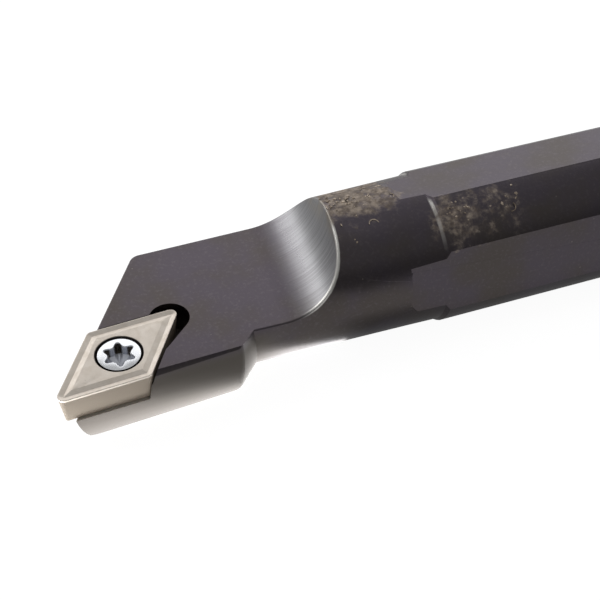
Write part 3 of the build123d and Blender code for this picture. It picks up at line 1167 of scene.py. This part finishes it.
@dataclass
class TurnedSurface:
    """Round surface of neck and shank over the side flat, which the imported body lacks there.

    It lies a hair under the true radius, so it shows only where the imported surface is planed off.
    """

    start: float = -161.5
    split: float = -154.6  # the side flat starts here
    end: float = -116.9
    inner_radius: float = 6.0
    shank_radius: float = 10.0
    half_chamfer: float = 0.3
    under: float = 0.003
    dive: float = 0.06  # its ends go this far under
    fade: float = 0.5  # over this length
    overlap: float = 0.1  # of the two stretches
    flat_depth: float = 8.995
    around: Range = (-6.0, 67.0)  # degrees, from the cutting side up
    steps: int = 96

    def sector(self, bm: bmesh.types.BMesh, profile: Sequence[Range]) -> None:
        """Spins a profile into a closed sector about the bar's axis.

        Args:
            bm: The mesh to add to.
            profile: Places along the bar with their radii.
        """
        low, high = (math.radians(a) for a in self.around)
        corners = [bm.verts.new((x, -r * math.cos(low), r * math.sin(low))) for x, r in profile]
        face = bm.faces.new(corners)
        angle = high - low
        bmesh.ops.spin(bm, geom=[face], axis=(-1, 0, 0), angle=angle, steps=self.steps, use_merge=False)

    def build(self, material: bpy.types.Material) -> bpy.types.Object:
        """Makes both stretches as one piece.

        Args:
            material: The bar's finish.

        Returns:
            The piece.
        """
        shank = self.shank_radius - self.under
        ahead = HEAD.shoulder - self.half_chamfer
        flat = bmesh.new()
        self.sector(
            flat,
            (
                (self.split, self.inner_radius),
                (self.split, HEAD.neck(self.split) - self.under),
                (ahead, HEAD.neck(ahead) - self.under),
                (HEAD.shoulder + self.half_chamfer, shank),
                (self.end - self.fade, shank),
                (self.end, shank - self.dive),
                (self.end, self.inner_radius),
            ),
        )
        parts = [*flat.verts, *flat.edges, *flat.faces]
        cut = bmesh.ops.bisect_plane(
            flat, geom=parts, plane_co=(0, -self.flat_depth, 0), plane_no=(0, -1, 0), clear_outer=True
        )
        rim = [part for part in cut["geom_cut"] if isinstance(part, bmesh.types.BMEdge)]
        bmesh.ops.contextual_create(flat, geom=rim)
        milled = bpy.data.meshes.new("milled_stretch")
        flat.to_mesh(milled)
        flat.free()

        bm = bmesh.new()
        joint = self.split + self.overlap
        self.sector(
            bm,
            (
                (self.start, self.inner_radius),
                (self.start, HEAD.neck(self.start) - self.dive),
                (self.start + self.fade, HEAD.neck(self.start + self.fade) - 2 * self.under),
                (joint, HEAD.neck(joint) - 2 * self.under),
                (joint, self.inner_radius),
            ),
        )
        bm.from_mesh(milled)
        bpy.data.meshes.remove(milled)
        bmesh.ops.recalc_face_normals(bm, faces=bm.faces)
        bmesh.ops.scale(bm, vec=(MM, MM, MM), verts=bm.verts)
        return finish_piece("turned_neck_and_shank", bm, material, 12)


@dataclass(frozen=True)
class SwarfField:
    """Where crumbs stuck: along the bar and round it, in millimetres and degrees."""

    along: Range
    around: Range  # from the cutting side up
    radius: float
    crumbs: int
    curls: int


@dataclass
class StuckSwarf:
    """Fine crumbs and short curls stuck to the oily neck and shank."""

    finish: OilySwarf = field(default_factory=OilySwarf)
    seed: int = 11
    ceiling: float = 9.58  # above the axis, level with the highest point of the turned neck
    crumb_size: tuple[float, float, float] = (0.05, 0.24, 0.08)  # least, most and usual radius
    crumb_shape: tuple[Range, ...] = ((0.7, 1.8), (0.6, 1.2), (0.35, 0.7))
    dent: float = 0.2  # corners move by this share of the radius
    curl_width: Range = (0.07, 0.12)
    curl_radius: Range = (0.3, 0.65)
    curl_thickness: float = 0.05
    curl_climb: Range = (0.005, 0.02)  # at each of its steps
    curl_sweep: Range = (70.0, 170.0)  # degrees
    curl_steps: int = 10
    fields: tuple[SwarfField, ...] = (
        SwarfField((-162.2, -153.6), (75, 104), 9.50, 60, 5),
        SwarfField((-148.6, -145.5), (42, 66), 10.0, 16, 1),
        SwarfField((-146.0, -138.5), (44, 66), 10.0, 10, 1),
        SwarfField((-163.0, -152.0), (40, 76), 9.50, 7, 1),
    )

    def place(self, along: float, around: float, radius: float) -> Matrix:
        """Frame on the round surface.

        Args:
            along: Place along the bar.
            around: Degrees from the cutting side up.
            radius: Distance from the bar's axis.

        Returns:
            Frame with z outwards and x along the bar.
        """
        angle = math.radians(around)
        outward = Vector((0, -math.cos(angle), math.sin(angle)))
        across = outward.cross(Vector((1, 0, 0)))
        turn = Matrix((Vector((1, 0, 0)), across, outward)).transposed()
        return Matrix.Translation(Vector((along, 0, 0)) + outward * radius) @ turn.to_4x4()

    def crumb(self, bm: bmesh.types.BMesh, draw: random.Random, where: Matrix) -> None:
        """Adds one angular crumb.

        Args:
            bm: The mesh to add to.
            draw: Source of chance.
            where: Frame that it lies in.
        """
        size = draw.triangular(*self.crumb_size)
        shape = Matrix.Diagonal((*[draw.uniform(*share) for share in self.crumb_shape], 1))
        turn = Matrix.Rotation(draw.uniform(0, math.tau), 4, "Z")
        made = bmesh.ops.create_icosphere(bm, subdivisions=1, radius=size, matrix=where @ turn @ shape)
        for vert in made["verts"]:
            vert.co += Vector([draw.uniform(-self.dent, self.dent) * size for _ in range(3)])

    def curl(self, bm: bmesh.types.BMesh, draw: random.Random, where: Matrix) -> None:
        """Makes one short curled chip: a narrow ribbon spun into an arc.

        Args:
            bm: The chip's own mesh.
            draw: Source of chance.
            where: Frame that it lies in.
        """
        width = draw.uniform(*self.curl_width)
        radius = draw.uniform(*self.curl_radius)
        thick = self.curl_thickness
        corners = [
            bm.verts.new((radius + x, 0, z))
            for x, z in ((0, 0), (width, 0), (width, thick), (0, thick))
        ]
        face = bm.faces.new(corners)
        bmesh.ops.spin(
            bm,
            geom=[face],
            axis=(0, 0, 1),
            dvec=(0, 0, draw.uniform(*self.curl_climb)),
            angle=math.radians(draw.uniform(*self.curl_sweep)),
            steps=self.curl_steps,
            use_merge=False,
        )
        turn = Matrix.Rotation(draw.uniform(0, math.tau), 4, "Z")
        shift = Matrix.Translation(Vector((-radius, 0, 0)))
        bmesh.ops.transform(bm, matrix=where @ turn @ shift, verts=bm.verts)

    def build(self) -> bpy.types.Object:
        """Makes all the crumbs and curls as one piece.

        Returns:
            The piece.
        """
        draw = random.Random(self.seed)
        bm = bmesh.new()
        for spot in self.fields:
            for _ in range(spot.crumbs):
                along = draw.uniform(*spot.along)
                around = draw.triangular(*spot.around)
                self.crumb(bm, draw, self.place(along, around, spot.radius))
            for _ in range(spot.curls):
                part = bmesh.new()
                along = draw.uniform(*spot.along)
                around = draw.uniform(*spot.around)
                self.curl(part, draw, self.place(along, around, spot.radius))
                mesh = bpy.data.meshes.new("curl")
                part.to_mesh(mesh)
                part.free()
                bm.from_mesh(mesh)
                bpy.data.meshes.remove(mesh)
        for vert in bm.verts:
            vert.co.z = min(vert.co.z, self.ceiling)
        bmesh.ops.recalc_face_normals(bm, faces=bm.faces)
        bmesh.ops.scale(bm, vec=(MM, MM, MM), verts=bm.verts)
        return finish_piece("stuck_swarf", bm, self.finish.build(), 30)


def dress_bar(finish: BlackOxideSteel) -> bpy.types.Material:
    """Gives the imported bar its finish.

    Args:
        finish: The finish.

    Returns:
        Its material, for what else is the same steel.
    """
    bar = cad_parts["bar_body"]
    material = finish.build()
    for slot in bar.material_slots:
        slot.material = material
    LOG.info("bar dressed in %s", material.name)
    return material


# ------------------------------------------------------------------ studio
@dataclass(frozen=True)
class Softbox:
    """Area lamp aimed at a point of the bar, set by the radiance of its face."""

    name: str
    azimuth: float  # degrees from +Y towards +X
    elevation: float  # degrees above the floor
    distance: float  # metres
    width: float
    height: float
    radiance: float
    aim: tuple[float, float, float] = (-0.165, 0.0, 0.0)

    def build(self) -> bpy.types.Object:
        """Adds the lamp.

        Returns:
            The lamp's object.
        """
        data = bpy.data.lights.new(self.name, "AREA")
        data.shape = "RECTANGLE"
        data.size = self.width
        data.size_y = self.height
        data.energy = self.radiance * math.pi * self.width * self.height
        lamp = bpy.data.objects.new(self.name, data)
        azimuth, elevation = math.radians(self.azimuth), math.radians(self.elevation)
        outward = Vector(
            (
                math.sin(azimuth) * math.cos(elevation),
                math.cos(azimuth) * math.cos(elevation),
                math.sin(elevation),
            )
        )
        lamp.location = Vector(self.aim) + outward * self.distance
        lamp.rotation_euler = outward.to_track_quat("Z", "Y").to_euler()
        lamp.visible_camera = False
        bpy.context.scene.collection.objects.link(lamp)
        return lamp


@dataclass
class Studio:
    """Floor, lamps and surroundings."""

    floor_gap: float = 0.02  # mm under the lowest point of the bar
    floor_size: float = 8.0
    white: str = "#ffffff"
    low_room: float = 0.1  # strength of the room's dim light at the horizon
    high_room: float = 0.3  # and higher up
    zenith: float = 0.55  # and right overhead
    rise: Range = (0.1, 0.6)  # upward part of the way, where the room grows lighter
    overhead: Range = (0.86, 1.0)
    boxes: tuple[Softbox, ...] = (
        Softbox("back_softbox", 18.0, 33.0, 0.8, 1.1, 0.8, 0.99),
        Softbox("window_softbox", -35.0, 27.0, 0.8, 0.4, 0.48, 1.8),
        Softbox("side_softbox", -78.0, 46.0, 0.8, 0.3, 0.3, 1.8),
    )
    table_radiance: float = 3.4
    table_corner: tuple[float, float] = (-0.1615, -0.0057)  # front right corner of the lit panel
    table_turn: float = 16.0  # degrees
    table_size: tuple[float, float] = (0.08, 0.024)

    def floor_height(self) -> float:
        """Height of the floor, just under the bar."""
        return CAD_BOX[0].z - self.floor_gap * MM

    def build_floor(self) -> None:
        """Adds the floor sheet."""
        bm = bmesh.new()
        bmesh.ops.create_grid(bm, x_segments=1, y_segments=1, size=self.floor_size / 2)
        bmesh.ops.translate(bm, vec=(0, 0, self.floor_height()), verts=bm.verts)
        mesh = bpy.data.meshes.new("floor")
        bm.to_mesh(mesh)
        bm.free()
        mesh.materials.append(FloorPaper().build())
        floor = bpy.data.objects.new("floor", mesh)
        bpy.context.scene.collection.objects.link(floor)

    def build_table_light(self) -> None:
        """Adds the lamp that lies on the floor and shines up at the underside."""
        data = bpy.data.lights.new("table_light", "AREA")
        data.shape = "RECTANGLE"
        data.size, data.size_y = self.table_size
        data.energy = self.table_radiance * math.pi * data.size * data.size_y
        lamp = bpy.data.objects.new("table_light", data)
        turn = Matrix.Rotation(math.radians(self.table_turn), 3, "Z")
        middle = turn @ Vector((-data.size / 2, data.size_y / 2, 0))
        corner = Vector((*self.table_corner, self.floor_height() + 0.005 * MM))
        lamp.location = corner + middle
        lamp.rotation_euler = (math.pi, 0, math.radians(self.table_turn))
        lamp.visible_camera = False
        bpy.context.scene.collection.objects.link(lamp)

    def build_world(self) -> None:
        """Dim even room for the bar, plain white behind it for the camera."""
        world = bpy.data.worlds.new("room")
        world.use_nodes = True
        tree = world.node_tree
        tree.nodes.clear()
        up = add_node(tree, Node.AXES, add_node(tree, Node.WAY)).node.outputs[2]
        high = cover(tree, (up, *self.rise))
        overhead = cover(tree, (up, *self.overhead))
        level = lay(tree, Node.MIX, self.low_room, (high, self.high_room), (overhead, self.zenith))
        room = add_node(tree, Node.ROOM, self.white, level)
        plain = add_node(tree, Node.ROOM, self.white, 1.0)
        camera_ray = add_node(tree, Node.CAMERA_RAY)
        add_node(tree, Node.WORLD_END, add_node(tree, Node.MIX_SHADER, camera_ray, room, plain))
        bpy.context.scene.world = world

    def build(self) -> None:
        """Adds floor, lamps and room."""
        self.build_floor()
        for box in self.boxes:
            box.build()
        self.build_table_light()
        self.build_world()
        bpy.context.scene.view_settings.view_transform = "Standard"
        LOG.info("studio ready, floor at %.5f m", self.floor_height())


@dataclass(frozen=True)
class ProductCamera:
    """Camera ahead of the nose and above the cutting side."""

    lens: float = 69.513
    sensor: float = 36.0
    location: tuple[float, float, float] = (-0.202741, -0.117624, 0.081876)
    right: tuple[float, float, float] = (0.940462, -0.334779, -0.058779)
    up: tuple[float, float, float] = (0.237072, 0.522143, 0.819246)

    def build(self) -> None:
        """Adds the camera and makes it the scene's."""
        data = bpy.data.cameras.new("product_camera")
        data.lens = self.lens
        data.sensor_width = self.sensor
        data.clip_start = 0.01
        camera = bpy.data.objects.new("product_camera", data)
        right, up = Vector(self.right), Vector(self.up)
        turn = Matrix((right, up, right.cross(up))).transposed()
        camera.matrix_world = Matrix.Translation(Vector(self.location)) @ turn.to_4x4()
        bpy.context.scene.collection.objects.link(camera)
        bpy.context.scene.camera = camera


def main() -> None:
    """Builds the looks in order."""
    logging.basicConfig(level=logging.INFO, format="%(name)s: %(message)s")
    ProductCamera().build()
    Studio().build()
    oxide = dress_bar(BlackOxideSteel())
    TurnedSurface().build(oxide)
    CuttingInsert().build()
    ClampScrew().build()
    StuckSwarf().build()


if __name__ == "__main__":
    main()
